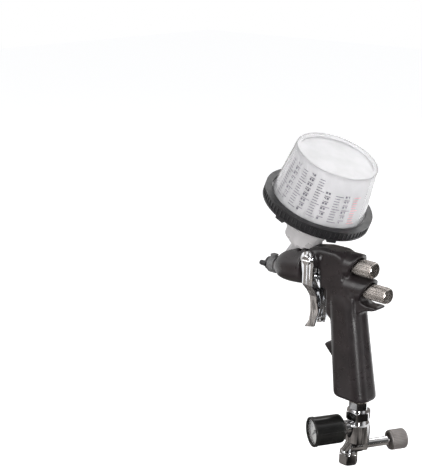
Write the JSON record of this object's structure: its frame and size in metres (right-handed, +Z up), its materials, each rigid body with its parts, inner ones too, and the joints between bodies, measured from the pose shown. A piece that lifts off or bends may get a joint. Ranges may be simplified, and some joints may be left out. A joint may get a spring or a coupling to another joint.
{
  "type": "hvlp gravity spray gun",
  "caption": "Gravity-fed HVLP paint spray gun: leaning clear cup in a ribbed collar, chrome trigger, control knobs at the back, and a swivelling air valve with pressure gauge below the grip.",
  "frame": {"origin": "centre of the hose inlet's mouth, at the bottom of the air valve", "axes": "+X the spray direction, +Y the gun's left side, +Z up; the inlet opens along -Z"},
  "size_m": [0.1548, 0.1072, 0.3204],
  "materials": {
    "body_plastic": "satin glass-filled plastic",
    "chrome": "polished chrome",
    "nickel": "satin nickel",
    "steel": "turned stainless steel",
    "spring_steel": "drawn wire",
    "brass": "turned brass",
    "seal_rubber": "moulded rubber",
    "packing_plastic": "PTFE",
    "cap_black": "satin moulded plastic",
    "ring_grey": "satin moulded plastic",
    "head_clear": "milky translucent plastic",
    "cup_clear": "clear plastic with printed scale",
    "liner_clear": "thin clear film",
    "collar_black": "satin moulded plastic",
    "gauge_black": "gloss black enamel",
    "gauge_lens": "clear",
    "gauge_face": "white printed dial",
    "pointer_black": "matt black",
    "filter_mesh": "woven nylon mesh"
  },
  "bodies": {
    "gun": {"gun_body": "body_plastic", "pivot_screws": "chrome", "rear_packing": "packing_plastic", "air_valve_seat": "brass", "air_valve_gland": "nickel", "air_valve_spring": "spring_steel", "needle_spring": "spring_steel", "fluid_sleeve": "nickel", "fan_sleeve": "nickel", "fan_packing": "seal_rubber", "head_body": "head_clear", "needle_packing": "packing_plastic", "packing_nut": "brass", "fluid_tip": "steel", "port_seal": "seal_rubber", "inlet_bush": "brass", "tailpiece": "chrome"},
    "trigger_lever": {"trigger": "chrome"},
    "needle": {"fluid_needle": "steel"},
    "air_valve": {"air_valve_stem": "steel", "air_valve_seal": "seal_rubber"},
    "fluid_control": {"fluid_knob": "nickel"},
    "fan_control": {"fan_knob": "nickel", "fan_stem": "steel"},
    "cap": {"air_cap": "cap_black"},
    "retaining_ring": {"cap_ring": "ring_grey"},
    "paint_cup": {"lid": "head_clear", "paint_filter": "filter_mesh", "hard_cup": "cup_clear", "liner": "liner_clear"},
    "clamp_collar": {"collar": "collar_black"},
    "swivel": {"swivel_nut": "chrome"},
    "regulator": {"swivel_seal": "seal_rubber", "inlet_nut": "chrome", "valve_body": "chrome", "valve_bonnet": "chrome", "bonnet_seal": "seal_rubber", "gauge_fitting": "brass", "gauge_case": "gauge_black", "gauge_bezel": "gauge_black", "gauge_lens": "gauge_lens", "gauge_dial": "gauge_face", "gauge_movement": "brass"},
    "pointer": {"gauge_pointer": "pointer_black"},
    "regulator_knob": {"valve_knob": "nickel", "knob_screw": "steel"},
    "regulator_stem": {"valve_stem": "steel"}
  },
  "joints": [
    {"name": "trigger_pull", "type": "hinge", "parent": "gun", "child": "trigger_lever", "pos_m": [0.044, 0, 0.203], "axis": [0, 1, 0], "range_deg": [0, 12], "stiffness_Nm_per_rad": 0.4, "springref_deg": -17.19},
    {"name": "needle_slide", "type": "slide", "parent": "gun", "child": "needle", "axis": [-1, 0, 0], "range_m": [0, 0.0048], "deforming": ["needle_spring"]},
    {"name": "air_valve_slide", "type": "slide", "parent": "gun", "child": "air_valve", "axis": [-1, 0, 0], "range_m": [0, 0.0048], "deforming": ["air_valve_spring"]},
    {"name": "fluid_knob_turn", "type": "hinge", "parent": "gun", "child": "fluid_control", "pos_m": [-0.01, 0, 0.182], "axis": [-1, 0, 0], "range_deg": [0, 720]},
    {"name": "fan_knob_turn", "type": "hinge", "parent": "gun", "child": "fan_control", "pos_m": [0.004, 0, 0.203], "axis": [-1, 0, 0], "range_deg": [0, 540]},
    {"name": "air_cap_turn", "type": "hinge", "parent": "gun", "child": "cap", "pos_m": [0.102, 0, 0.182], "axis": [1, 0, 0], "range_deg": [0, 90]},
    {"name": "cap_ring_turn", "type": "hinge", "parent": "gun", "child": "retaining_ring", "pos_m": [0.097, 0, 0.182], "axis": [1, 0, 0], "continuous": true},
    {"name": "cup_turn", "type": "hinge", "parent": "gun", "child": "paint_cup", "pos_m": [0.06617, 0, 0.21306], "axis": [-0.4067, 0, 0.9135], "range_deg": [0, 45]},
    {"name": "collar_turn", "type": "hinge", "parent": "paint_cup", "child": "clamp_collar", "pos_m": [0.04787, 0, 0.25417], "axis": [-0.4067, 0, 0.9135], "range_deg": [0, 60]},
    {"name": "swivel_nut_turn", "type": "hinge", "parent": "gun", "child": "swivel", "pos_m": [-0.01, 0, 0.0595], "axis": [0, 0, 1], "continuous": true},
    {"name": "regulator_swivel", "type": "hinge", "parent": "gun", "child": "regulator", "pos_m": [-0.01, 0, 0.055], "axis": [0, 0, 1], "range_deg": [-180, 180]},
    {"name": "pointer_turn", "type": "hinge", "parent": "regulator", "child": "pointer", "pos_m": [0.01277, 0.04282, 0.0425], "axis": [-0.4695, -0.8829, 0], "range_deg": [0, 270]},
    {"name": "valve_knob_turn", "type": "hinge", "parent": "regulator", "child": "regulator_knob", "pos_m": [-0.02314, -0.03444, 0.0195], "axis": [-0.4695, -0.8829, 0], "range_deg": [0, 720]},
    {"name": "valve_stem_slide", "type": "slide", "parent": "regulator", "child": "regulator_stem", "axis": [-0.4695, -0.8829, 0], "range_m": [0, 0.0021]}
  ],
  "couplings": [
    {"joint": "needle_slide", "follows": "trigger_pull", "m_per_rad": 0.0225},
    {"joint": "air_valve_slide", "follows": "trigger_pull", "m_per_rad": 0.0225},
    {"joint": "valve_stem_slide", "follows": "valve_knob_turn", "m_per_rad": 0.00015915}
  ]
}
